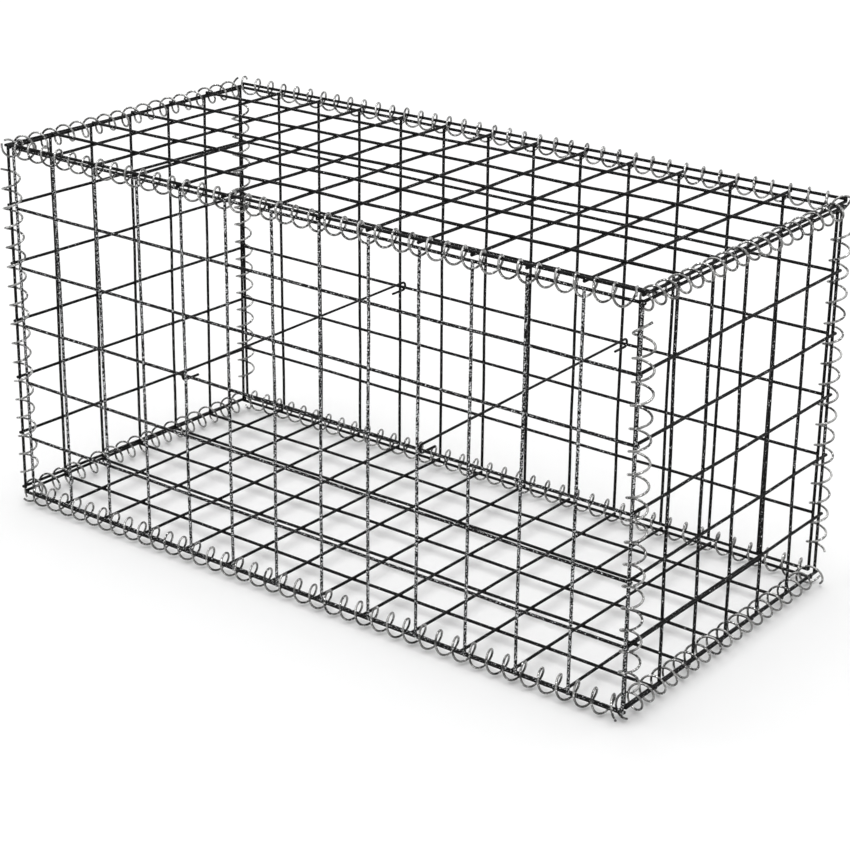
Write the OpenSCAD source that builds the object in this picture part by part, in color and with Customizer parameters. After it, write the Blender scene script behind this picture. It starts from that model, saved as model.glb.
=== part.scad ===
// Empty welded-mesh gabion basket: six wire panels bound along all twelve edges by spiral binders,
// with two hooked cross ties that keep the front and back from bulging.
// Millimetres. X runs along the basket, Y from front to back, Z up.
// The origin is on the floor, under the middle of the basket.

/* [Mesh size] */
// Mesh openings along the basket
cells_long = 13; // [9:1:20]
// Mesh openings from front to back
cells_deep = 6; // [3:1:13]
// Mesh openings from base to lid
cells_high = 6; // [2:1:13]
// Wire spacing along the basket
cell_long = 75; // [60:1:110]
// Wire spacing from front to back
cell_deep = 75; // [60:1:110]
// Wire spacing from base to lid
cell_high = 81; // [60:1:110]

/* [Mesh wire] */
// Diameter of the mesh wire
mesh_wire_d = 4; // [3:0.1:5]
// Depth to which two crossing wires melt into each other at a weld
weld_sink = 0.6; // [0.2:0.1:1]
// Length of the cut wire ends beyond the middle of the edge wires
wire_stub = 4.5; // [3:0.1:6]

/* [Spiral binders] */
// Diameter of the spiral wire
spiral_wire_d = 2.4; // [2:0.1:3]
// Radius at which the half turns of a spiral meet, to the middle of its wire
turn_r = 10.5; // [10:0.1:14]
// Turns in each mesh opening
turns_per_cell = 3; // [2:1:3]
// Turns that an upright spiral stops short of the edge wires at its top and bottom
upright_short_turns = 1; // [1:1:2]
// Play between a spiral and the edge wires that it holds
seat_clearance = 0.3; // [0.1:0.1:0.5]

/* [Cross ties] */
// Diameter of the tie wire
tie_wire_d = 3.4; // [2.5:0.1:4]
// Inner radius of the hook at each end of a tie
tie_hook_r = 5; // [4:0.1:7]
// Straight tail after the hook
tie_tail = 14; // [5:1:25]
// Mesh openings from each end of the basket to the nearer tie
tie_cells_in = 4; // [1:1:6]

/* [Hidden] */

// Facets on the round wires of the spirals and ties
$fn = 24;
// Flats on a mesh wire, which measures its diameter across them
wire_sides = 8;

mesh_colour = "dimgray";
spiral_colour = "silver";
tie_colour = "gray";

// Mesh spans between the middles of the edge wires
span_long = cells_long * cell_long;
span_deep = cells_deep * cell_deep;
span_high = cells_high * cell_high;

// Wire radii: to a corner of a mesh wire, and to the middle of its layer in a panel
mesh_corner_r = mesh_wire_d / 2 / cos(180 / wire_sides);
layer_out = (mesh_wire_d - weld_sink) / 2;

// Rise of one turn in each direction
pitch_long = cell_long / turns_per_cell;
pitch_deep = cell_deep / turns_per_cell;
pitch_high = cell_high / turns_per_cell;

// A spiral is slightly oval: a half turn climbs in a leaning plane, so it bulges between its two ends
function bulge_r(pitch) = norm([turn_r, pitch / 4]);
// Radius of that oval midway between the ends of a half turn and its bulge
function middle_r(pitch) = sqrt(2) * turn_r * bulge_r(pitch) / norm([turn_r, bulge_r(pitch)]);

// A half turn stops a degree short at each end, and a ball slightly thinner than the wire joins it to the next
join_trim = 1;
join_ball_d = spiral_wire_d - 0.1;

// The edge wires lie just inside the spiral, so each panel stops short of the planes of its neighbours
seat_pitch = min(pitch_long, pitch_deep, pitch_high);
seat_r = middle_r(seat_pitch) - spiral_wire_d / 2 - mesh_corner_r - seat_clearance;
seat_lean = asin(layer_out / seat_r);
edge_setback = seat_r * cos(seat_lean);

// A spiral starts out of the basket, turned so that the edge wires of both panels seat alike
start_near = cos(45 - seat_lean);
start_far = sin(45 - seat_lean);

// Planes of the panels, measured from the middle of the basket
plane_x = span_long / 2 + edge_setback;
plane_y = span_deep / 2 + edge_setback;
plane_z = span_high / 2 + edge_setback;

// The basket stands on its bottom spirals
function drop(pitch, along, across) = norm([turn_r * along, bulge_r(pitch) * across]) + spiral_wire_d / 2;
mid_z = plane_z + max(drop(pitch_long, start_far, start_near), drop(pitch_deep, start_near, start_far));

// Cross ties: the mesh row that they hook on, their bend, and their offset from the upright wire
tie_row_z = mid_z + (floor(cells_high / 2) - cells_high / 2) * cell_high;
tie_bend_r = tie_hook_r + tie_wire_d / 2;
tie_offset = mesh_corner_r + tie_wire_d / 2 + seat_clearance;
tie_column = span_long / 2 - tie_cells_in * cell_long;
hook_y = plane_y - layer_out + mesh_corner_r + seat_clearance - tie_hook_r;

// One mesh wire, lying along Z, with flats towards X and Y
module mesh_wire(length) {
    rotate([0, 0, 180 / wire_sides])
        cylinder(r = mesh_corner_r, h = length, center = true, $fn = wire_sides);
}

// Welded panel in the XY plane with its outer side up; row_side is 1 where the rows along X lie outside
module panel(columns, rows, column_gap, row_gap, row_side) {
    width = columns * column_gap;
    height = rows * row_gap;
    color(mesh_colour) {
        for (row = [0 : rows])
            translate([0, row * row_gap - height / 2, row_side * layer_out])
                rotate([0, 90, 0])
                    mesh_wire(width + 2 * wire_stub);
        for (column = [0 : columns])
            translate([column * column_gap - width / 2, 0, -row_side * layer_out])
                rotate([90, 0, 0])
                    mesh_wire(height + 2 * wire_stub);
    }
}

module base_panel() {
    translate([0, 0, mid_z - plane_z])
        rotate([180, 0, 0])
            panel(cells_long, cells_deep, cell_long, cell_deep, 1);
}

module lid_panel() {
    translate([0, 0, mid_z + plane_z])
        panel(cells_long, cells_deep, cell_long, cell_deep, 1);
}

module front_panel() {
    translate([0, -plane_y, mid_z])
        rotate([90, 0, 0])
            panel(cells_long, cells_high, cell_long, cell_high, -1);
}

module back_panel() {
    translate([0, plane_y, mid_z])
        rotate([90, 0, 180])
            panel(cells_long, cells_high, cell_long, cell_high, -1);
}

module left_end_panel() {
    translate([-plane_x, 0, mid_z])
        rotate([90, 0, -90])
            panel(cells_deep, cells_high, cell_deep, cell_high, 1);
}

module right_end_panel() {
    translate([plane_x, 0, mid_z])
        rotate([90, 0, 90])
            panel(cells_deep, cells_high, cell_deep, cell_high, 1);
}

// Half a turn: a leaning half ring that starts on +X and rises half the pitch to end on -X
module half_turn(pitch) {
    translate([0, 0, pitch / 4])
        rotate([0, atan(pitch / 4 / turn_r), 0])
            rotate([0, 0, join_trim])
                rotate_extrude(angle = 180 - 2 * join_trim)
                    translate([bulge_r(pitch), 0])
                        circle(d = spiral_wire_d);
}

// Right-handed spiral about Z, centred on the origin, with both ends on +X
module spiral(turns, pitch) {
    color(spiral_colour) {
        for (half = [0 : 2 * turns - 1])
            translate([0, 0, (half - turns) * pitch / 2])
                rotate([0, 0, half * 180])
                    half_turn(pitch);
        for (half = [1 : 2 * turns - 1])
            translate([cos(half * 180) * turn_r, 0, (half - turns) * pitch / 2])
                sphere(d = join_ball_d);
    }
}

// Spiral on an edge that runs along X
module long_spiral(side_y, side_z) {
    translate([0, side_y * plane_y, mid_z + side_z * plane_z])
        rotate([atan2(side_y * start_near, -side_z * start_far), 0, 0])
            rotate([0, 90, 0])
                spiral(cells_long * turns_per_cell, pitch_long);
}

// Spiral on an edge that runs along Y
module deep_spiral(side_x, side_z) {
    translate([side_x * plane_x, 0, mid_z + side_z * plane_z])
        rotate([0, atan2(-side_z * start_near, side_x * start_far), 0])
            rotate([-90, 0, 0])
                spiral(cells_deep * turns_per_cell, pitch_deep);
}

// Spiral on an upright edge
module upright_spiral(side_x, side_y) {
    translate([side_x * plane_x, side_y * plane_y, mid_z])
        rotate([0, 0, atan2(side_y * start_far, side_x * start_near)])
            spiral(cells_high * turns_per_cell - 2 * upright_short_turns, pitch_high);
}

module bottom_front_spiral() { long_spiral(-1, -1); }
module bottom_back_spiral() { long_spiral(1, -1); }
module top_front_spiral() { long_spiral(-1, 1); }
module top_back_spiral() { long_spiral(1, 1); }

module bottom_left_spiral() { deep_spiral(-1, -1); }
module bottom_right_spiral() { deep_spiral(1, -1); }
module top_left_spiral() { deep_spiral(-1, 1); }
module top_right_spiral() { deep_spiral(1, 1); }

module front_left_spiral() { upright_spiral(-1, -1); }
module front_right_spiral() { upright_spiral(1, -1); }
module back_left_spiral() { upright_spiral(-1, 1); }
module back_right_spiral() { upright_spiral(1, 1); }

// Hooked end of a tie: the wire bends down outside the panel's row and its tail comes back below it
module tie_hook() {
    translate([0, hook_y, 0])
        rotate([0, -90, 0])
            rotate_extrude(angle = 180)
                translate([tie_bend_r, 0])
                    circle(d = tie_wire_d);
    translate([0, hook_y, -tie_bend_r])
        rotate([90, 0, 0])
            cylinder(d = tie_wire_d, h = tie_tail);
}

// Straight tie from front to back, beside the upright wire at x
module tie(x) {
    translate([x + tie_offset, 0, tie_row_z])
        color(tie_colour) {
            translate([0, 0, tie_bend_r])
                rotate([90, 0, 0])
                    cylinder(d = tie_wire_d, h = 2 * hook_y, center = true);
            tie_hook();
            mirror([0, 1, 0])
                tie_hook();
        }
}

module left_tie() { tie(-tie_column); }
module right_tie() { tie(tie_column); }

base_panel();
lid_panel();
front_panel();
back_panel();
left_end_panel();
right_end_panel();
bottom_front_spiral();
bottom_back_spiral();
bottom_left_spiral();
bottom_right_spiral();
top_front_spiral();
top_back_spiral();
top_left_spiral();
top_right_spiral();
front_left_spiral();
front_right_spiral();
back_left_spiral();
back_right_spiral();
left_tie();
right_tie();
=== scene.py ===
"""Dress an empty gabion basket: welded mesh panels of round wire, spiral binders and hooked cross ties."""

from __future__ import annotations

import logging
import math
from dataclasses import dataclass, field
from enum import Enum
from typing import Any

import bpy
from mathutils import Euler, Matrix, Vector

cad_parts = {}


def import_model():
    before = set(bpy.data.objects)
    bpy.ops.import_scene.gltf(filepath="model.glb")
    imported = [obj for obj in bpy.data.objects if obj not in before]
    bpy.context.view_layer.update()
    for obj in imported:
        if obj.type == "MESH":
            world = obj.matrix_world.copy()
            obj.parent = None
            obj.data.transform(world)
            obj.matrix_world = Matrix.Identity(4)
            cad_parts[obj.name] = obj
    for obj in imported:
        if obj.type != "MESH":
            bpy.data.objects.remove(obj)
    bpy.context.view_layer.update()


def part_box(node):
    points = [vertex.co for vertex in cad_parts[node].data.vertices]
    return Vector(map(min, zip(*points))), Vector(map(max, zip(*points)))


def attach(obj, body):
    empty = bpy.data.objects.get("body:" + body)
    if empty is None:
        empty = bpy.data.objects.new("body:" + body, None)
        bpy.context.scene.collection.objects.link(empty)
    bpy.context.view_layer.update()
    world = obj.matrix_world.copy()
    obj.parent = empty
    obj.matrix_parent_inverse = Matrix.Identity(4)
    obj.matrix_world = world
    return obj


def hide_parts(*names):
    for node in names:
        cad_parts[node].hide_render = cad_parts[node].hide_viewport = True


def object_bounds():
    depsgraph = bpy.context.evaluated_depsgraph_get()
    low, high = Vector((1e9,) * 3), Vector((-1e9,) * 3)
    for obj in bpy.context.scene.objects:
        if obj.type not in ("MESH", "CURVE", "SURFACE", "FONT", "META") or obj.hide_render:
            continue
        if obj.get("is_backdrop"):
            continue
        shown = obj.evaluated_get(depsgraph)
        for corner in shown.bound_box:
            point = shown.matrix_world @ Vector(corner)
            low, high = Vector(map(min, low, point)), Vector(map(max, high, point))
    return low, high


LOG = logging.getLogger("gabion_basket")
MM = 0.001
Colour = tuple[float, float, float]

# Fineness of the wires
WIRE_SIDES = 12
WIRE_STEPS_PER_CELL = 4.0
SWEPT_SIDES = 8
POINTS_PER_TURN = 24

# Weld beads: radius as a share of the wire's diameter, fineness, and the range of their squeeze
BEAD_SHARE = 0.62
BEAD_SUBDIVISIONS = 2
BEAD_LEAST = (0.85, 0.85, 0.55)
BEAD_MOST = (1.1, 1.1, 0.8)

# Unevenness: noise scales per metre, and how a panel's bow is weighted and held at its edges
NOISE_DETAIL = 1.0
NOISE_MEAN = (0.5, 0.5, 0.5)
SWAY_SCALE = 14.0
BOW_SCALE = 5.0
BOW_WEIGHTS = (0.6, 0.6, 2.0)
EDGE_POWER = 4.0

# Sprung end of a spiral: the turns that spring, how sharply, and their rise as a multiple of the spread
FLARE_TURNS = 0.5
FLARE_POWER = 2.0
FLARE_RISE = 2.0


class Run(Enum):
    """Direction in which an edge of the basket runs."""

    LONG = Vector((1, 0, 0))
    DEEP = Vector((0, 1, 0))
    UPRIGHT = Vector((0, 0, 1))


class Side(Enum):
    """Side of the basket on which a top or bottom edge lies, with the direction inwards from it."""

    FRONT = Vector((0, 1, 0))
    BACK = Vector((0, -1, 0))
    LEFT = Vector((1, 0, 0))
    RIGHT = Vector((-1, 0, 0))


class Face(Enum):
    """Flat side of the basket: its node, and the turn that brings a panel's outer side, +Z, to face out."""

    BASE = ("base_panel", Euler((math.pi, 0, 0)))
    LID = ("lid_panel", Euler((0, 0, 0)))
    FRONT = ("front_panel", Euler((math.pi / 2, 0, 0)))
    BACK = ("back_panel", Euler((math.pi / 2, 0, math.pi)))
    LEFT = ("left_end_panel", Euler((math.pi / 2, 0, -math.pi / 2)))
    RIGHT = ("right_end_panel", Euler((math.pi / 2, 0, math.pi / 2)))


def millimetres(x: float, y: float, z: float) -> Vector:
    """Return a vector that is given in millimetres."""
    return Vector((x, y, z)) * MM


def scaled(tree: bpy.types.NodeTree, value: Any, factor: float, added: float = 0.0) -> Any:
    """Add a Math node to a material or world that multiplies a value and adds to it.

    Args:
        tree: Node tree of the material or world.
        value: Socket with the value.
        factor: Factor of the value.
        added: Amount that is added after that.

    Returns:
        The socket with the result.
    """
    node = tree.nodes.new("ShaderNodeMath")
    node.operation = "MULTIPLY_ADD"
    node.inputs[1].default_value = factor
    node.inputs[2].default_value = added
    tree.links.new(value, node.inputs[0])
    return node.outputs[0]


@dataclass(frozen=True)
class WireFinish:
    """Galvanised wire finish: a main tone, blotches of a second tone and bright zinc specks that are
    painted highlight.

    Attributes:
        name: Name of the material.
        slot: Material slot of the record.
        tone: Main colour, linear.
        blotch: Colour of the blotches.
        painted_glint_colour: Colour of the bright specks, a painted highlight on the zinc.
        speck_size: Size of the fine noise that draws the specks and the bumps, in metres.
        painted_glint_share: How densely the painted highlight specks cover the wire where the glint is
            full, 0 to 1.
        plain_glint: Painted highlight glint that is added to the glint of every wire.
        metallic: How metallic the finish is.
        specular: Strength of the plain reflection.
        roughness: Mean roughness.
        bump: Height of the coating's unevenness in metres.
        roughness_spread: Most by which the roughness varies either way.
        speck_detail: Octaves of the specks' noise.
        speck_level: Noise level at which specks begin where their share is 0.
        speck_drop: Fall of that level where their share is 1.
        speck_edge: Rise of the noise over which the specks fade in.
        blotch_scale: Noise scale of the blotches as a share of the specks'.
        blotch_detail: Octaves of the blotches' noise.
        blotch_from: Noise level at which the blotches begin.
        blotch_to: Noise level at which they are full.
    """

    name: str
    slot: str
    tone: Colour
    blotch: Colour
    painted_glint_colour: Colour
    speck_size: float
    painted_glint_share: float
    plain_glint: float
    metallic: float
    specular: float
    roughness: float
    bump: float
    roughness_spread: float = 0.12
    speck_detail: float = 2.0
    speck_level: float = 0.70
    speck_drop: float = 0.36
    speck_edge: float = 0.035
    blotch_scale: float = 0.12
    blotch_detail: float = 3.0
    blotch_from: float = 0.38
    blotch_to: float = 0.64

    def material(self) -> bpy.types.Material:
        """Build the finish as a node material.

        Returns:
            The material.
        """
        material = bpy.data.materials.new(self.name)
        material.use_nodes = True
        tree = material.node_tree
        shader = tree.nodes["Principled BSDF"]
        shader.inputs["Metallic"].default_value = self.metallic
        shader.inputs["Specular IOR Level"].default_value = self.specular

        place = tree.nodes.new("ShaderNodeTexCoord").outputs["Object"]
        fine = self._noise(tree, place, 1 / self.speck_size, self.speck_detail)
        broad = self._noise(tree, place, self.blotch_scale / self.speck_size, self.blotch_detail)
        # The bright specks laid over the blotched tone are painted highlight.
        colour = self._with_painted_glints(tree, self._blotched(tree, broad), self._painted_glint_cover(tree, fine))
        tree.links.new(colour, shader.inputs["Base Color"])

        rough = tree.nodes.new("ShaderNodeMapRange")
        rough.inputs["To Min"].default_value = self.roughness - self.roughness_spread
        rough.inputs["To Max"].default_value = self.roughness + self.roughness_spread
        tree.links.new(broad, rough.inputs["Value"])
        tree.links.new(rough.outputs["Result"], shader.inputs["Roughness"])

        bump = tree.nodes.new("ShaderNodeBump")
        bump.inputs["Distance"].default_value = self.bump
        tree.links.new(fine, bump.inputs["Height"])
        tree.links.new(bump.outputs["Normal"], shader.inputs["Normal"])
        return material

    @staticmethod
    def _noise(tree: bpy.types.NodeTree, place: Any, scale: float, detail: float) -> Any:
        """Add a noise texture.

        Args:
            tree: Node tree of the material.
            place: Socket with the coordinates.
            scale: Noise scale per metre.
            detail: Octaves of the noise.

        Returns:
            The socket with the noise value.
        """
        noise = tree.nodes.new("ShaderNodeTexNoise")
        noise.inputs["Scale"].default_value = scale
        noise.inputs["Detail"].default_value = detail
        tree.links.new(place, noise.inputs["Vector"])
        return noise.outputs["Fac"]

    def _blotched(self, tree: bpy.types.NodeTree, broad: Any) -> Any:
        """Blend the main tone into the blotches by the broad noise.

        Args:
            tree: Node tree of the material.
            broad: Socket with the broad noise.

        Returns:
            The socket with the blended colour.
        """
        ramp = tree.nodes.new("ShaderNodeValToRGB")
        main, blotch = ramp.color_ramp.elements
        main.position = self.blotch_from
        main.color = (*self.tone, 1)
        blotch.position = self.blotch_to
        blotch.color = (*self.blotch, 1)
        tree.links.new(broad, ramp.inputs["Fac"])
        return ramp.outputs["Color"]

    def _painted_glint_cover(self, tree: bpy.types.NodeTree, fine: Any) -> Any:
        """Work out where the bright specks of painted highlight cover the wire, more of them where its
        glint is higher.

        Args:
            tree: Node tree of the material.
            fine: Socket with the fine noise.

        Returns:
            The socket with the cover, 0 to 1.
        """
        # The glint attribute sets how much painted highlight each wire carries as bright specks.
        glint = tree.nodes.new("ShaderNodeAttribute")
        glint.attribute_name = "glint"
        share = scaled(tree, glint.outputs["Fac"], self.painted_glint_share, self.plain_glint * self.painted_glint_share)
        start = scaled(tree, share, -self.speck_drop, self.speck_level)
        end = scaled(tree, start, 1.0, self.speck_edge)
        specks = tree.nodes.new("ShaderNodeMapRange")
        specks.interpolation_type = "SMOOTHSTEP"
        tree.links.new(fine, specks.inputs["Value"])
        tree.links.new(start, specks.inputs["From Min"])
        tree.links.new(end, specks.inputs["From Max"])
        return specks.outputs["Result"]

    def _with_painted_glints(self, tree: bpy.types.NodeTree, under: Any, cover: Any) -> Any:
        """Lay the bright specks, a painted highlight, over the colour below.

        Args:
            tree: Node tree of the material.
            under: Socket with the colour below.
            cover: Socket with the cover of the specks.

        Returns:
            The socket with the resulting colour.
        """
        mix = tree.nodes.new("ShaderNodeMix")
        mix.data_type = "RGBA"
        colour_under, colour_over = [socket for socket in mix.inputs if socket.type == "RGBA"]
        colour_over.default_value = (*self.painted_glint_colour, 1)
        tree.links.new(cover, mix.inputs["Factor"])
        tree.links.new(under, colour_under)
        return next(socket for socket in mix.outputs if socket.type == "RGBA")


# Near-black mesh wire; its near-white specks are painted highlight, thickest on the wires that face the
# light.
MESH_FINISH = WireFinish(
    name="mesh_wire_zinc_aluminium",
    slot="mesh_wire",
    tone=(0.004, 0.004, 0.0042),
    blotch=(0.012, 0.012, 0.0125),
    painted_glint_colour=(0.82, 0.83, 0.84),
    speck_size=1.7 * MM,
    painted_glint_share=0.42,
    plain_glint=0.0,
    metallic=0.0,
    specular=0.06,
    roughness=0.5,
    bump=0.12 * MM,
)
# Galvanised spiral wire; the even scatter of pale specks over it is painted highlight.
SPIRAL_FINISH = WireFinish(
    name="spiral_wire_galvanised",
    slot="spiral_wire",
    tone=(0.27, 0.27, 0.265),
    blotch=(0.045, 0.045, 0.045),
    painted_glint_colour=(0.72, 0.72, 0.71),
    speck_size=2.2 * MM,
    painted_glint_share=0.5,
    plain_glint=0.6,
    metallic=1.0,
    specular=0.5,
    roughness=0.24,
    bump=0.05 * MM,
)
# Near-black tie wire; its faint scatter of grey specks is painted highlight.
TIE_FINISH = WireFinish(
    name="tie_wire_zinc_aluminium",
    slot="tie_wire",
    tone=(0.004, 0.004, 0.0042),
    blotch=(0.014, 0.014, 0.0145),
    painted_glint_colour=(0.4, 0.41, 0.42),
    speck_size=1.5 * MM,
    painted_glint_share=0.4,
    plain_glint=0.2,
    metallic=0.0,
    specular=0.06,
    roughness=0.48,
    bump=0.1 * MM,
)


class TreeMaker:
    """Builds one Geometry Nodes tree: its named inputs, its nodes and their links."""

    def __init__(self, name: str) -> None:
        """Start a tree with a geometry input and a geometry output.

        Args:
            name: Name of the tree.
        """
        self.tree = bpy.data.node_groups.new(name, "GeometryNodeTree")
        self.tree.interface.new_socket(name="Geometry", in_out="OUTPUT", socket_type="NodeSocketGeometry")
        self.tree.interface.new_socket(name="Geometry", in_out="INPUT", socket_type="NodeSocketGeometry")
        self.group_in = self.tree.nodes.new("NodeGroupInput")
        self.group_out = self.tree.nodes.new("NodeGroupOutput")

    def inputs(self, **kinds: str) -> None:
        """Add named inputs.

        Args:
            **kinds: Socket kind of each input, such as Float, Int, Vector or Material.
        """
        for name, kind in kinds.items():
            self.tree.interface.new_socket(name=name, in_out="INPUT", socket_type=f"NodeSocket{kind}")

    def given(self, name: str) -> Any:
        """Return the socket of a named input."""
        return self.group_in.outputs[name]

    def node(self, kind: str, feeds: dict | None = None, **settings: Any) -> Any:
        """Add a node.

        Args:
            kind: Node type; the prefix GeometryNode may be left off.
            feeds: Values or sockets for its inputs, by name or number.
            **settings: Properties of the node.

        Returns:
            The node.
        """
        prefixed = kind.startswith(("ShaderNode", "FunctionNode", "GeometryNode"))
        node = self.tree.nodes.new(kind if prefixed else f"GeometryNode{kind}")
        for key, value in settings.items():
            setattr(node, key, value)
        for key, value in (feeds or {}).items():
            self.feed(node.inputs[key], value)
        return node

    def feed(self, socket: Any, value: Any) -> None:
        """Link an input socket to another socket, or set its value.

        Args:
            socket: The input socket.
            value: Socket to link from, or a plain value.
        """
        if isinstance(value, bpy.types.NodeSocket):
            self.tree.links.new(value, socket)
        else:
            socket.default_value = value

    def math(self, operation: str, first: Any, second: Any = 0.0, third: Any = 0.0) -> Any:
        """Add a Math node.

        Args:
            operation: Name of the operation.
            first: First value or socket.
            second: Second value or socket.
            third: Third value or socket.

        Returns:
            The socket with the result.
        """
        node = self.node("ShaderNodeMath", {0: first, 1: second, 2: third}, operation=operation)
        return node.outputs[0]

    def vector_math(self, operation: str, first: Any, second: Any) -> Any:
        """Add a Vector Math node.

        Args:
            operation: Name of the operation.
            first: First vector or socket.
            second: Second vector or socket, or the factor where the operation is SCALE.

        Returns:
            The socket with the resulting vector.
        """
        key = "Scale" if operation == "SCALE" else 1
        return self.node("ShaderNodeVectorMath", {0: first, key: second}, operation=operation).outputs[0]

    def vector(self, x: Any = 0.0, y: Any = 0.0, z: Any = 0.0) -> Any:
        """Return the socket of a vector made of three values or sockets."""
        return self.node("ShaderNodeCombineXYZ", {0: x, 1: y, 2: z}).outputs[0]

    def position(self) -> Any:
        """Return the three output sockets with the coordinates of each point."""
        return self.node("ShaderNodeSeparateXYZ", {0: self.node("InputPosition").outputs[0]}).outputs

    def drift(self, place: Any, scale: float) -> Any:
        """Add vector noise with a mean of zero.

        Args:
            place: Socket with the coordinates.
            scale: Noise scale per metre.

        Returns:
            The socket with the noise.
        """
        noise = self.node("ShaderNodeTexNoise", {"Vector": place, "Scale": scale, "Detail": NOISE_DETAIL})
        return self.vector_math("SUBTRACT", noise.outputs["Color"], NOISE_MEAN)

    def shifted(self, geometry: Any, offset: Any) -> Any:
        """Return the socket of a geometry whose points are moved by an offset."""
        return self.node("SetPosition", {"Geometry": geometry, "Offset": offset}).outputs[0]

    def end(self, geometry: Any) -> bpy.types.GeometryNodeTree:
        """Place, realize and dress the geometry, and finish the tree.

        Args:
            geometry: Socket with the finished shape, about its own origin.

        Returns:
            The tree.
        """
        moved = self.node("Transform", {
            "Geometry": geometry, "Translation": self.given("Place"), "Rotation": self.given("Turn"),
        })
        real = self.node("RealizeInstances", {"Geometry": moved.outputs[0]})
        dressed = self.node("SetMaterial", {
            "Geometry": real.outputs[0], "Material": self.given("Material"),
        })
        self.feed(self.group_out.inputs[0], dressed.outputs[0])
        return self.tree


def panel_tree() -> bpy.types.GeometryNodeTree:
    """Build the tree of a welded panel in the XY plane, with its outer side up.

    Returns:
        The tree, with inputs for the mesh, the wires, their unevenness and the panel's place.
    """
    maker = TreeMaker("welded_panel")
    maker.inputs(
        Columns="Int", Rows="Int", ColumnGap="Float", RowGap="Float", WireDiameter="Float", Layer="Float",
        RowSide="Float", Stub="Float", Slack="Float", Bow="Float", RowGlint="Float", ColumnGlint="Float",
        Seed="Int", Turn="Vector", Place="Vector", Material="Material",
    )
    width = maker.math("MULTIPLY", maker.given("Columns"), maker.given("ColumnGap"))
    height = maker.math("MULTIPLY", maker.given("Rows"), maker.given("RowGap"))
    row_level = maker.math("MULTIPLY", maker.given("RowSide"), maker.given("Layer"))
    column_level = maker.math("MULTIPLY", row_level, -1.0)

    rows = _wire_set(maker, along_x=True, length=width, count=maker.given("Rows"), across=height,
                     gap=maker.given("RowGap"), level=row_level, cells=maker.given("Columns"),
                     glint=maker.given("RowGlint"))
    columns = _wire_set(maker, along_x=False, length=height, count=maker.given("Columns"), across=width,
                        gap=maker.given("ColumnGap"), level=column_level, cells=maker.given("Rows"),
                        glint=maker.given("ColumnGlint"))
    joined = maker.node("JoinGeometry")
    for part in (rows, columns, _welds(maker, width, height)):
        maker.tree.links.new(part, joined.inputs[0])
    return maker.end(_bowed(maker, joined.outputs[0], width, height))


def _wire_set(maker: TreeMaker, along_x: bool, length: Any, count: Any, across: Any, gap: Any, level: Any,
              cells: Any, glint: Any) -> Any:
    """Add one layer of parallel wires with cut ends.

    Args:
        maker: The tree in the making.
        along_x: True for rows along X, False for columns along Y.
        length: Socket with the span of a wire between the edge wires.
        count: Socket with the number of openings across the wires.
        across: Socket with the span across the wires.
        gap: Socket with the spacing of the wires.
        level: Socket with the height of the layer.
        cells: Socket with the number of openings along a wire.
        glint: Socket with the glint of these wires, the share of painted highlight specks.

    Returns:
        The socket with the layer.
    """
    wire = maker.node("MeshCylinder", {
        "Vertices": WIRE_SIDES,
        "Side Segments": maker.math("MULTIPLY", cells, WIRE_STEPS_PER_CELL),
        "Radius": maker.math("MULTIPLY", maker.given("WireDiameter"), 0.5),
        "Depth": maker.math("MULTIPLY_ADD", maker.given("Stub"), 2.0, length),
    })
    smooth = maker.node("SetShadeSmooth", {
        "Geometry": wire.outputs["Mesh"], "Selection": wire.outputs["Side"],
    })
    lying = maker.node("Transform", {
        "Geometry": smooth.outputs[0],
        "Rotation": (0, math.pi / 2, 0) if along_x else (math.pi / 2, 0, 0),
    })
    first = maker.math("MULTIPLY", across, -0.5)
    line = maker.node("MeshLine", {
        "Count": maker.math("ADD", count, 1.0),
        "Start Location": maker.vector(0.0 if along_x else first, first if along_x else 0.0, level),
        "Offset": maker.vector(0.0 if along_x else gap, gap if along_x else 0.0, 0.0),
    })
    random = maker.node("FunctionNodeRandomValue", {
        "Min": maker.math("MULTIPLY", maker.given("Slack"), -1.0), "Max": maker.given("Slack"),
        "Seed": maker.given("Seed"),
    }, data_type="FLOAT")
    slip = random.outputs["Value"]
    slid = maker.shifted(line.outputs[0], maker.vector(x=slip) if along_x else maker.vector(y=slip))
    placed = maker.node("InstanceOnPoints", {"Points": slid, "Instance": lying.outputs[0]})
    real = maker.node("RealizeInstances", {"Geometry": placed.outputs[0]})
    # Store the glint that sets how many painted highlight specks these wires carry.
    marked = maker.node("StoreNamedAttribute", {
        "Geometry": real.outputs[0], "Name": "glint", "Value": glint,
    }, data_type="FLOAT", domain="POINT")
    return marked.outputs[0]


def _welds(maker: TreeMaker, width: Any, height: Any) -> Any:
    """Add a small squeezed-out bead at every crossing.

    Args:
        maker: The tree in the making.
        width: Socket with the span of the columns.
        height: Socket with the span of the rows.

    Returns:
        The socket with the beads.
    """
    grid = maker.node("MeshGrid", {
        "Size X": width, "Size Y": height,
        "Vertices X": maker.math("ADD", maker.given("Columns"), 1.0),
        "Vertices Y": maker.math("ADD", maker.given("Rows"), 1.0),
    })
    bead = maker.node("MeshIcoSphere", {
        "Radius": maker.math("MULTIPLY", maker.given("WireDiameter"), BEAD_SHARE),
        "Subdivisions": BEAD_SUBDIVISIONS,
    })
    smooth = maker.node("SetShadeSmooth", {"Geometry": bead.outputs["Mesh"]})
    squeeze = maker.node("FunctionNodeRandomValue", {
        "Min": BEAD_LEAST, "Max": BEAD_MOST, "Seed": maker.given("Seed"),
    }, data_type="FLOAT_VECTOR")
    placed = maker.node("InstanceOnPoints", {
        "Points": grid.outputs["Mesh"], "Instance": smooth.outputs[0], "Scale": squeeze.outputs["Value"],
    })
    return maker.node("RealizeInstances", {"Geometry": placed.outputs[0]}).outputs[0]


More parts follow.
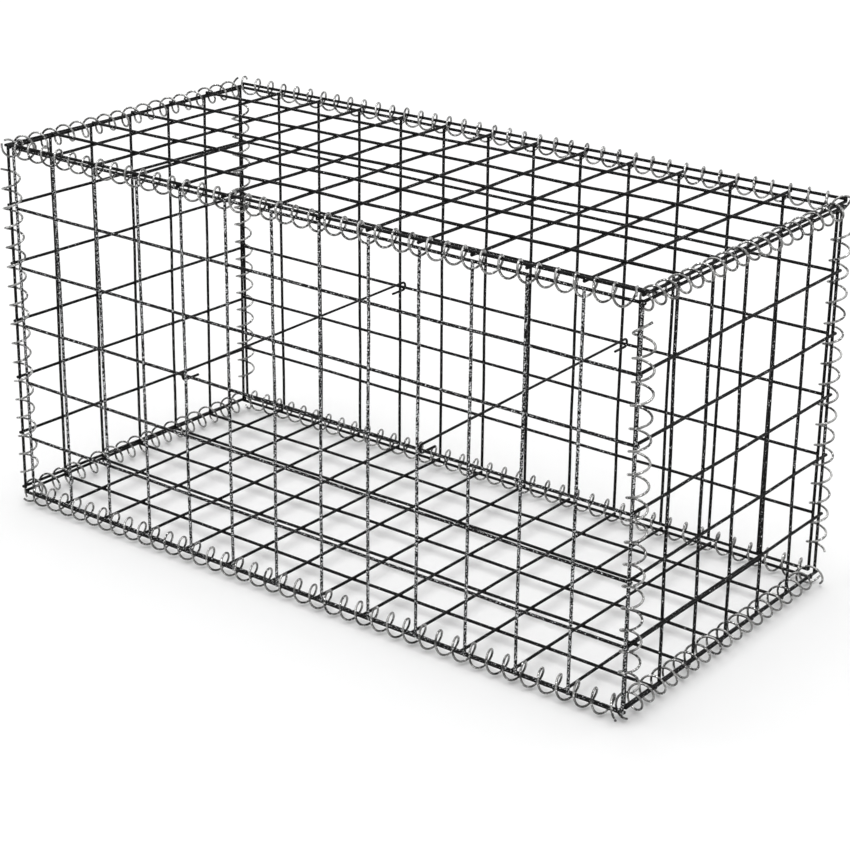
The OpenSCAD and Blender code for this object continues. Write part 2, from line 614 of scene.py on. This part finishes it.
def _bowed(maker: TreeMaker, geometry: Any, width: Any, height: Any) -> Any:
    """Bow the panel slightly between its bound edges, both layers together.

    Args:
        maker: The tree in the making.
        geometry: Socket with the flat panel.
        width: Socket with the span of the columns.
        height: Socket with the span of the rows.

    Returns:
        The socket with the bowed panel.
    """
    x, y, _ = maker.position()
    share_x = maker.math("DIVIDE", maker.math("ABSOLUTE", x), maker.math("MULTIPLY", width, 0.5))
    share_y = maker.math("DIVIDE", maker.math("ABSOLUTE", y), maker.math("MULTIPLY", height, 0.5))
    held = maker.math("POWER", maker.math("MAXIMUM", share_x, share_y), EDGE_POWER)
    free = maker.math("MAXIMUM", maker.math("SUBTRACT", 1.0, held), 0.0)
    drift = maker.drift(maker.vector(x, y, maker.given("Seed")), BOW_SCALE)
    amount = maker.math("MULTIPLY", free, maker.given("Bow"))
    offset = maker.vector_math("SCALE", maker.vector_math("MULTIPLY", drift, BOW_WEIGHTS), amount)
    return maker.shifted(geometry, offset)


def spiral_tree() -> bpy.types.GeometryNodeTree:
    """Build the tree of a right-handed spiral about Z, centred on the origin, that starts on +X.

    Returns:
        The tree, with inputs for the spiral, its wire, its unevenness and its place.
    """
    maker = TreeMaker("spiral_binder")
    maker.inputs(
        Turns="Float", Pitch="Float", Radius="Float", WireDiameter="Float", Sway="Float", Flare="Float",
        Seed="Int", Turn="Vector", Place="Vector", Material="Material",
    )
    height = maker.math("MULTIPLY", maker.given("Turns"), maker.given("Pitch"))
    helix = maker.node("CurveSpiral", {
        "Resolution": POINTS_PER_TURN, "Rotations": maker.given("Turns"),
        "Start Radius": maker.given("Radius"), "End Radius": maker.given("Radius"),
        "Height": height, "Reverse": True,
    })
    centred = maker.node("Transform", {
        "Geometry": helix.outputs[0],
        "Translation": maker.vector(z=maker.math("MULTIPLY", height, -0.5)),
    })
    x, y, z = maker.position()
    drift = maker.drift(maker.vector(0.0, maker.given("Seed"), z), SWAY_SCALE)
    swayed = maker.shifted(centred.outputs[0], maker.vector_math("SCALE", drift, maker.given("Sway")))
    return maker.end(_swept(maker, _flared(maker, swayed, x, y)))


def _flared(maker: TreeMaker, helix: Any, x: Any, y: Any) -> Any:
    """Spread the last half turn of a spiral outwards and on, as a cut end springs open.

    Args:
        maker: The tree in the making.
        helix: Socket with the spiral's middle line.
        x: Socket with the first coordinate of its points.
        y: Socket with the second coordinate of its points.

    Returns:
        The socket with the flared line.
    """
    done = maker.node("SplineParameter").outputs["Factor"]
    turns_left = maker.math("MULTIPLY", maker.math("SUBTRACT", 1.0, done), maker.given("Turns"))
    near_end = maker.math("MAXIMUM", maker.math("MULTIPLY_ADD", turns_left, -1 / FLARE_TURNS, 1.0), 0.0)
    growth = maker.math("DIVIDE", maker.given("Flare"), maker.given("Radius"))
    amount = maker.math("MULTIPLY", maker.math("POWER", near_end, FLARE_POWER), growth)
    outwards = maker.vector(x, y, maker.math("MULTIPLY", maker.given("Radius"), FLARE_RISE))
    return maker.shifted(helix, maker.vector_math("SCALE", outwards, amount))


def tie_tree() -> bpy.types.GeometryNodeTree:
    """Build the tree that sweeps a round wire along the object's own line of edges.

    Returns:
        The tree, with inputs for the wire and its place.
    """
    maker = TreeMaker("cross_tie")
    maker.inputs(WireDiameter="Float", Turn="Vector", Place="Vector", Material="Material")
    path = maker.node("MeshToCurve", {"Mesh": maker.given("Geometry")})
    return maker.end(_swept(maker, path.outputs[0]))


def _swept(maker: TreeMaker, path: Any) -> Any:
    """Sweep a round wire with closed ends along a curve.

    Args:
        maker: The tree in the making.
        path: Socket with the curve.

    Returns:
        The socket with the wire.
    """
    ring = maker.node("CurvePrimitiveCircle", {
        "Resolution": SWEPT_SIDES, "Radius": maker.math("MULTIPLY", maker.given("WireDiameter"), 0.5),
    })
    wire = maker.node("CurveToMesh", {"Curve": path, "Profile Curve": ring.outputs[0], "Fill Caps": True})
    return maker.node("SetShadeSmooth", {"Geometry": wire.outputs[0]}).outputs[0]


def grown(name: str, seed_mesh: bpy.types.Mesh, tree: bpy.types.GeometryNodeTree,
          **values: Any) -> bpy.types.Object:
    """Run a tree on a new object and keep the result as its plain mesh.

    Args:
        name: Name of the object.
        seed_mesh: Mesh that the tree starts from.
        tree: Geometry Nodes tree.
        **values: Values of the tree's inputs.

    Returns:
        The object, at the origin.
    """
    piece = bpy.data.objects.new(name, seed_mesh)
    bpy.context.scene.collection.objects.link(piece)
    modifier = piece.modifiers.new(tree.name, "NODES")
    modifier.node_group = tree
    for item in tree.interface.items_tree:
        if item.in_out == "INPUT" and item.name in values:
            modifier[item.identifier] = values[item.name]
    graph = bpy.context.evaluated_depsgraph_get()
    mesh = bpy.data.meshes.new_from_object(piece.evaluated_get(graph))
    piece.modifiers.remove(modifier)
    piece.data = mesh
    mesh.name = name
    return piece


def settle(piece: bpy.types.Object, node: str) -> None:
    """Put a finished piece in its node's place on the part.

    Args:
        piece: The finished piece.
        node: CAD node that it stands for.
    """
    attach(piece, "root")
    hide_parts(node)
    LOG.info("%s: %d faces", piece.name, len(piece.data.polygons))


@dataclass
class Mesh:
    """Sizes of the welded mesh, in metres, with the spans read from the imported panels.

    Attributes:
        cells_long: Openings along the basket.
        cells_deep: Openings from front to back.
        cells_high: Openings from base to lid.
        wire_d: Diameter of the wire.
        weld_sink: Depth to which crossing wires melt into each other.
        stub: Length of the solids' cut ends beyond the edge wires.
        shown_stub: Mean length of the cut ends that are drawn.
    """

    cells_long: int = 13
    cells_deep: int = 6
    cells_high: int = 6
    wire_d: float = 4 * MM
    weld_sink: float = 0.6 * MM
    stub: float = 4.5 * MM
    shown_stub: float = 1.6 * MM

    @property
    def layer(self) -> float:
        """Distance from a panel's middle plane to the middle of each layer of wires."""
        return (self.wire_d - self.weld_sink) / 2

    def cells(self) -> Vector:
        """Return the number of openings along, across and up."""
        return Vector((self.cells_long, self.cells_deep, self.cells_high))

    def gaps(self) -> Vector:
        """Return the wire spacing along, across and up.

        Returns:
            The three spacings.
        """
        long_low, long_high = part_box("front_panel")
        deep_low, deep_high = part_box("right_end_panel")
        spans = Vector((
            long_high[0] - long_low[0], deep_high[1] - deep_low[1], long_high[2] - long_low[2],
        ))
        return Vector([(span - 2 * self.stub) / count for span, count in zip(spans, self.cells())])


@dataclass
class Panel:
    """One welded panel of the basket.

    Attributes:
        face: Side of the basket that it closes.
        mesh: Sizes of the welded mesh.
        row_side: 1 where the rows lie outside the columns, -1 where they lie inside.
        row_glint: Glint of the rows, 0 to 1, which sets their painted highlight specks.
        column_glint: Glint of the columns, 0 to 1, which sets their painted highlight specks.
        slip: Offset from the solid panel.
        lean_deg: Turns about X, Y and Z from the solid panel, in degrees.
        stretch: Growth of the openings along the rows and along the columns.
        slack: Most by which a wire is slid along itself.
        bow: Strength of the bow between the edges.
    """

    face: Face
    mesh: Mesh
    row_side: float
    row_glint: float
    column_glint: float
    slip: Vector
    lean_deg: tuple[float, float, float] = (0.0, 0.0, 0.0)
    stretch: tuple[float, float] = (1.0, 1.0)
    slack: float = 0.5 * MM
    bow: float = 3 * MM

    def build(self, tree: bpy.types.GeometryNodeTree, material: bpy.types.Material) -> bpy.types.Object:
        """Make the panel's mesh.

        Args:
            tree: The welded panel's tree.
            material: Material of the mesh wire.

        Returns:
            The panel.
        """
        node, turn = self.face.value
        cells = self.mesh.cells()
        gaps = self.mesh.gaps()
        low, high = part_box(node)
        along = Vector((1, 0, 0))
        along.rotate(turn)
        up = Vector((0, 1, 0))
        up.rotate(turn)
        place = (Vector(low) + Vector(high)) / 2 + self.slip
        lean = Euler([math.radians(angle) for angle in self.lean_deg])
        leaning = (lean.to_matrix() @ turn.to_matrix()).to_euler()
        return grown(
            f"welded_{node}", bpy.data.meshes.new(node), tree,
            Columns=round(abs(along.dot(cells))), Rows=round(abs(up.dot(cells))),
            ColumnGap=abs(along.dot(gaps)) * self.stretch[0], RowGap=abs(up.dot(gaps)) * self.stretch[1],
            WireDiameter=self.mesh.wire_d, Layer=self.mesh.layer, RowSide=self.row_side,
            Stub=self.mesh.shown_stub, Slack=self.slack, Bow=self.bow,
            RowGlint=self.row_glint, ColumnGlint=self.column_glint, Seed=list(Face).index(self.face) + 1,
            Turn=tuple(leaning), Place=tuple(place), Material=material,
        )


@dataclass
class Spiral:
    """One spiral binder, wound round the edge wires of two panels.

    Attributes:
        node: CAD node of the spiral.
        run: Direction of its edge.
        turns: Number of turns.
        pitch: Rise of one turn.
        seed: Seed of its sway.
        hang: Offset from the solid spiral.
        turn_r: Radius to the middle of the wire.
        flare: Spread of its sprung end.
        wire_d: Diameter of the wire.
        start_lean: Angle at which the spiral starts, from the axis after its own in the order X, Y, Z.
        sway: Strength of its sway.
    """

    node: str
    run: Run
    turns: int
    pitch: float
    seed: int
    hang: Vector
    turn_r: float
    flare: float
    wire_d: float = 2.9 * MM
    start_lean: float = math.radians(32)
    sway: float = 3 * MM

    def start(self, middle: Vector, centre: Vector) -> Vector:
        """Work out the direction in which the spiral starts, out of the basket.

        Args:
            middle: Middle of the spiral.
            centre: Middle of the basket.

        Returns:
            A unit vector across the spiral.
        """
        near, far = math.cos(self.start_lean), math.sin(self.start_lean)
        weights = {
            Run.LONG: (0, near, far),
            Run.DEEP: (far, 0, near),
            Run.UPRIGHT: (near, far, 0),
        }[self.run]
        sides = [math.copysign(1, value) for value in middle - centre]
        return Vector([weight * side for weight, side in zip(weights, sides)])

    def build(self, tree: bpy.types.GeometryNodeTree, material: bpy.types.Material,
              centre: Vector) -> bpy.types.Object:
        """Make the spiral's mesh.

        Args:
            tree: The spiral's tree.
            material: Material of the spiral wire.
            centre: Middle of the basket.

        Returns:
            The spiral.
        """
        low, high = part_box(self.node)
        middle = (Vector(low) + Vector(high)) / 2
        axis = self.run.value
        start = self.start(middle, centre)
        turn = Matrix((start, axis.cross(start), axis)).transposed().to_euler()
        return grown(
            f"wound_{self.node}", bpy.data.meshes.new(self.node), tree,
            Turns=float(self.turns), Pitch=self.pitch, Radius=self.turn_r, WireDiameter=self.wire_d,
            Sway=self.sway, Flare=self.flare, Seed=self.seed,
            Turn=tuple(turn), Place=tuple(middle + self.hang), Material=material,
        )


@dataclass
class Tie:
    """Straight cross tie with a hook at each end, which goes over a mesh row and comes back below it.

    Attributes:
        node: CAD node of the tie.
        front_slip: Offset of its front hook from the solid tie.
        back_slip: Offset of its back hook from the solid tie.
        wire_d: Diameter of the wire.
        tail: Length of the straight tail after each hook.
        hook_growth: Growth of the hooks' radius over the solid's, below 0 for tighter hooks.
        hook_steps: Straight steps in the half turn of a hook.
    """

    node: str
    front_slip: Vector
    back_slip: Vector
    wire_d: float = 3.4 * MM
    tail: float = 23 * MM
    hook_growth: float = -1.2 * MM
    hook_steps: int = 14

    def path(self) -> list[Vector]:
        """Work out the middle line of the wire from the front tail to the back tail.

        Returns:
            The points of the line.
        """
        low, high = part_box(self.node)
        x = (low[0] + high[0]) / 2
        bend_r = (high[2] - low[2] - self.wire_d) / 2 + self.hook_growth
        bend_z = (low[2] + high[2]) / 2 - self.hook_growth
        reach = (high[1] - low[1]) / 2 - bend_r - self.wire_d / 2
        hook = [Vector((x, reach - self.tail, bend_z - bend_r))]
        for step in range(self.hook_steps + 1):
            angle = -math.pi / 2 + math.pi * step / self.hook_steps
            hook.append(Vector((x, reach + bend_r * math.cos(angle), bend_z + bend_r * math.sin(angle))))
        front = [Vector((point.x, -point.y, point.z)) + self.front_slip for point in hook]
        return front + [point + self.back_slip for point in hook[::-1]]

    def build(self, tree: bpy.types.GeometryNodeTree, material: bpy.types.Material) -> bpy.types.Object:
        """Make the tie's mesh.

        Args:
            tree: The tie's tree.
            material: Material of the tie wire.

        Returns:
            The tie.
        """
        points = self.path()
        line = bpy.data.meshes.new(self.node)
        line.from_pydata(points, [(i, i + 1) for i in range(len(points) - 1)], [])
        return grown(
            f"hooked_{self.node}", line, tree,
            WireDiameter=self.wire_d, Turn=(0.0, 0.0, 0.0), Place=(0.0, 0.0, 0.0), Material=material,
        )


@dataclass
class Basket:
    """The whole basket: six panels, twelve spirals and two ties.

    Attributes:
        mesh: Sizes of the welded mesh.
        front_slip: Offset of the front, which the ties' front hooks share.
        front_shift: Further offset of the front panel alone.
        back_slip: Offset of the back, which the ties' back hooks share.
        tie_shifts: Further offset of each tie's front hook, beside an upright of the front.
        tie_clearance: Further offset of the ties' back hooks from the uprights of the back.
        turns_per_cell: Turns of a spiral in each mesh opening.
        upright_short_turns: Turns by which an upright spiral stops short at each end.
        turn_r: Radius of the top and upright spirals.
        bottom_turn_r: Radius of the bottom spirals.
        flare: Spread of the sprung ends of the top and bottom spirals.
        upright_flares: Spread of the sprung ends of the upright spirals.
        top_inset: Distance by which the top spirals hang inwards.
        top_drops: Distance by which the top spiral on each side hangs down.
        bottom_inset: Distance by which the bottom spirals lie inwards.
        bottom_lift: Distance by which the bottom spirals lie higher.
        upright_slips: Offset of each upright spiral.
        centre: Middle of the basket's solids.
    """

    mesh: Mesh = field(default_factory=Mesh)
    front_slip: Vector = field(default_factory=lambda: millimetres(7.3, 3.2, -1.4))
    front_shift: Vector = field(default_factory=lambda: millimetres(2.9, 0, 0))
    back_slip: Vector = field(default_factory=lambda: millimetres(-6, -5, 0))
    tie_shifts: dict[str, Vector] = field(default_factory=lambda: {
        "left_tie": millimetres(-4.5, 0, 0),
        "right_tie": millimetres(2, 0, 0),
    })
    tie_clearance: Vector = field(default_factory=lambda: millimetres(4, 0, 0))
    turns_per_cell: int = 3
    upright_short_turns: int = 1
    turn_r: float = 11.9 * MM
    bottom_turn_r: float = 13.6 * MM
    flare: float = 3 * MM
    upright_flares: dict[str, float] = field(default_factory=lambda: {
        "front_left": 0.0,
        "front_right": 6 * MM,
        "back_left": 0.0,
        "back_right": 0.0,
    })
    top_inset: float = 4.5 * MM
    top_drops: dict[Side, float] = field(default_factory=lambda: {
        Side.FRONT: 3.8 * MM,
        Side.BACK: 3.8 * MM,
        Side.LEFT: 7.8 * MM,
        Side.RIGHT: 7.6 * MM,
    })
    bottom_inset: float = 5 * MM
    bottom_lift: float = 4.6 * MM
    upright_slips: dict[str, Vector] = field(default_factory=lambda: {
        "front_left": millimetres(9, 5, 0),
        "front_right": millimetres(2.5, 6.5, 0),
        "back_left": millimetres(1, -4, 0),
        "back_right": millimetres(-5.5, -4, 0),
    })
    centre: Vector = field(init=False)

    def __post_init__(self) -> None:
        """Read the basket's middle from the frame."""
        low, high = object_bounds()
        self.centre = (Vector(low) + Vector(high)) / 2

    def panels(self) -> list[Panel]:
        """Return the six panels, with the rows outside on the base, the lid and the ends.

        Returns:
            The panels.
        """
        # The glints paint highlight: most bright specks on the front's uprights, which face the light, few
        # on the lid and base.
        return [
            Panel(face=Face.BASE, mesh=self.mesh, row_side=1, row_glint=0.05, column_glint=0.05,
                  slip=millimetres(-3.5, -0.5, 1.2), lean_deg=(0, 0.15, 0), stretch=(1.008, 1)),
            Panel(face=Face.LID, mesh=self.mesh, row_side=1, row_glint=0.1, column_glint=0.1,
                  slip=millimetres(3.7, 0.3, -0.3), lean_deg=(0, -0.3, 0.1), stretch=(1.002, 1.003)),
            Panel(face=Face.FRONT, mesh=self.mesh, row_side=-1, row_glint=0.55, column_glint=1.0,
                  slip=self.front_slip + self.front_shift, lean_deg=(0, 0.2, 0), stretch=(0.994, 1.012)),
            Panel(face=Face.BACK, mesh=self.mesh, row_side=-1, row_glint=0.25, column_glint=0.25,
                  slip=self.back_slip),
            Panel(face=Face.LEFT, mesh=self.mesh, row_side=1, row_glint=0.2, column_glint=0.35,
                  slip=millimetres(-1.3, 0, -0.9), lean_deg=(-0.9, 0, 0)),
            Panel(face=Face.RIGHT, mesh=self.mesh, row_side=1, row_glint=0.2, column_glint=0.45,
                  slip=millimetres(-2.5, 0, 0.8), lean_deg=(0.3, -0.2, 0), stretch=(1, 1.004)),
        ]

    def spirals(self) -> list[Spiral]:
        """Return the twelve spirals, first those along the basket and last the upright ones.

        Returns:
            The spirals.
        """
        edges = {
            Run.LONG: ("bottom_front", "bottom_back", "top_front", "top_back"),
            Run.DEEP: ("bottom_left", "bottom_right", "top_left", "top_right"),
            Run.UPRIGHT: ("front_left", "front_right", "back_left", "back_right"),
        }
        made = []
        for run, names in edges.items():
            turns = round(run.value.dot(self.mesh.cells())) * self.turns_per_cell
            if run is Run.UPRIGHT:
                turns -= 2 * self.upright_short_turns
            pitch = abs(run.value.dot(self.mesh.gaps())) / self.turns_per_cell
            for name in names:
                made.append(Spiral(
                    node=f"{name}_spiral", run=run, turns=turns, pitch=pitch, seed=len(made) + 1,
                    hang=self.hang(name),
                    turn_r=self.bottom_turn_r if name.startswith("bottom") else self.turn_r,
                    flare=self.upright_flares.get(name, self.flare),
                ))
        return made

    def hang(self, edge: str) -> Vector:
        """Work out how far a loose spiral hangs from where its solid lies.

        Args:
            edge: Name of the edge.

        Returns:
            The offset of the spiral.
        """
        if edge in self.upright_slips:
            return self.upright_slips[edge]
        level, side_name = edge.split("_")
        side = Side[side_name.upper()]
        if level == "top":
            return side.value * self.top_inset - Vector((0, 0, self.top_drops[side]))
        return side.value * self.bottom_inset + Vector((0, 0, self.bottom_lift))

    def ties(self) -> list[Tie]:
        """Return the two ties, hooked on the slipped front and back."""
        back_slip = self.back_slip + self.tie_clearance
        return [Tie(node, self.front_slip + shift, back_slip) for node, shift in self.tie_shifts.items()]

    def build(self) -> None:
        """Make, dress and settle every piece."""
        mesh_wire = MESH_FINISH.material()
        spiral_wire = SPIRAL_FINISH.material()
        tie_wire = TIE_FINISH.material()
        tree = panel_tree()
        for panel in self.panels():
            settle(panel.build(tree, mesh_wire), panel.face.value[0])
        tree = spiral_tree()
        for spiral in self.spirals():
            settle(spiral.build(tree, spiral_wire, self.centre), spiral.node)
        tree = tie_tree()
        for tie in self.ties():
            settle(tie.build(tree, tie_wire), tie.node)


@dataclass
class Studio:
    """Pale floor, soft light and the camera of the photograph's view.

    Attributes:
        azimuth: Angle of the camera round the basket, from the front towards the right end.
        elevation: Angle of the camera above the floor.
        roll: Turn of the camera about its own axis.
        camera_place: Place of the camera.
        lens_mm: Focal length.
        sensor_mm: Width of the sensor.
        floor_size: Length of the floor's sides.
        floor_white: Grey level of the floor's colour.
        floor_glow: Glow of the floor where it is seen.
        ambient: Strength of the even light from all round.
        key_level: Strength of the key light.
        key_spread: Angle over which the key light spreads.
        key_place: Point from which the key light shines towards the origin.
    """

    azimuth: float = math.radians(37.596)
    elevation: float = math.radians(22.052)
    roll: float = math.radians(0.521)
    camera_place: tuple[float, float, float] = (1.6505, -2.105, 1.2535)
    lens_mm: float = 92.901
    sensor_mm: float = 36.0
    floor_size: float = 60.0
    floor_white: float = 0.9
    floor_glow: float = 0.04
    ambient: float = 0.25
    key_level: float = 0.92
    key_spread: float = math.radians(88)
    key_place: tuple[float, float, float] = (-0.2, -0.1, 3.0)

    def build(self) -> None:
        """Set up the camera, the floor and the light."""
        bpy.context.scene.view_settings.view_transform = "Standard"
        self.add_camera()
        self.add_floor()
        self.add_world()
        self.add_key()

    def add_camera(self) -> None:
        """Add the camera at the photograph's viewing angle."""
        data = bpy.data.cameras.new("camera")
        data.lens = self.lens_mm
        data.sensor_width = self.sensor_mm
        camera = bpy.data.objects.new("camera", data)
        back = Vector((
            math.sin(self.azimuth) * math.cos(self.elevation),
            -math.cos(self.azimuth) * math.cos(self.elevation),
            math.sin(self.elevation),
        ))
        level = Vector((0, 0, 1)).cross(back).normalized()
        above = back.cross(level)
        right = level * math.cos(self.roll) + above * math.sin(self.roll)
        up = above * math.cos(self.roll) - level * math.sin(self.roll)
        aim = Matrix((right, up, back)).transposed().to_4x4()
        camera.matrix_world = Matrix.Translation(self.camera_place) @ aim
        bpy.context.scene.collection.objects.link(camera)
        bpy.context.scene.camera = camera

    def add_floor(self) -> None:
        """Add the pale floor, which keeps the basket's shadow."""
        half = self.floor_size / 2
        corners = [(-half, -half, 0), (half, -half, 0), (half, half, 0), (-half, half, 0)]
        mesh = bpy.data.meshes.new("floor")
        mesh.from_pydata(corners, [], [(0, 1, 2, 3)])
        mesh.materials.append(self.floor_material())
        floor = bpy.data.objects.new("floor", mesh)
        bpy.context.scene.collection.objects.link(floor)
        floor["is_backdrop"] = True

    def floor_material(self) -> bpy.types.Material:
        """Build the matt white of the floor, with a faint glow where it is seen.

        Returns:
            The material.
        """
        material = bpy.data.materials.new("floor_white")
        material.use_nodes = True
        tree = material.node_tree
        tree.nodes.clear()
        matt = tree.nodes.new("ShaderNodeBsdfDiffuse")
        matt.inputs["Color"].default_value = (self.floor_white, self.floor_white, self.floor_white, 1)
        glow = tree.nodes.new("ShaderNodeEmission")
        strength = scaled(tree, self.seen_directly(tree), self.floor_glow)
        tree.links.new(strength, glow.inputs["Strength"])
        both = tree.nodes.new("ShaderNodeAddShader")
        tree.links.new(matt.outputs[0], both.inputs[0])
        tree.links.new(glow.outputs[0], both.inputs[1])
        output = tree.nodes.new("ShaderNodeOutputMaterial")
        tree.links.new(both.outputs[0], output.inputs["Surface"])
        return material

    def add_world(self) -> None:
        """Add the even light from all round, white where it is seen as the background."""
        world = bpy.data.worlds.new("studio")
        bpy.context.scene.world = world
        world.use_nodes = True
        tree = world.node_tree
        light = tree.nodes["Background"]
        light.inputs["Color"].default_value = (1, 1, 1, 1)
        strength = scaled(tree, self.seen_directly(tree), 1 - self.ambient, self.ambient)
        tree.links.new(strength, light.inputs["Strength"])

    @staticmethod
    def seen_directly(tree: bpy.types.NodeTree) -> Any:
        """Tell rays that see a surface, straight, in gloss or through glass, from those that only light it.

        Args:
            tree: Node tree of the material or world.

        Returns:
            The socket, 1 for seen and 0 for lighting only.
        """
        path = tree.nodes.new("ShaderNodeLightPath")
        total = path.outputs["Is Camera Ray"]
        for other in ("Is Glossy Ray", "Is Transmission Ray"):
            either = tree.nodes.new("ShaderNodeMath")
            either.operation = "MAXIMUM"
            tree.links.new(total, either.inputs[0])
            tree.links.new(path.outputs[other], either.inputs[1])
            total = either.outputs[0]
        return total

    def add_key(self) -> None:
        """Add the broad light from above."""
        data = bpy.data.lights.new("key", "SUN")
        data.energy = self.key_level * math.pi
        data.angle = self.key_spread
        lamp = bpy.data.objects.new("key", data)
        place = Vector(self.key_place)
        aim = (-place).to_track_quat("-Z", "Y").to_matrix().to_4x4()
        lamp.matrix_world = Matrix.Translation(place) @ aim
        bpy.context.scene.collection.objects.link(lamp)


def main() -> None:
    """Build the studio and the basket."""
    logging.basicConfig(level=logging.INFO, format="%(name)s %(message)s")
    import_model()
    Studio().build()
    Basket().build()
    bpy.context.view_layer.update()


if __name__ == "__main__":
    main()
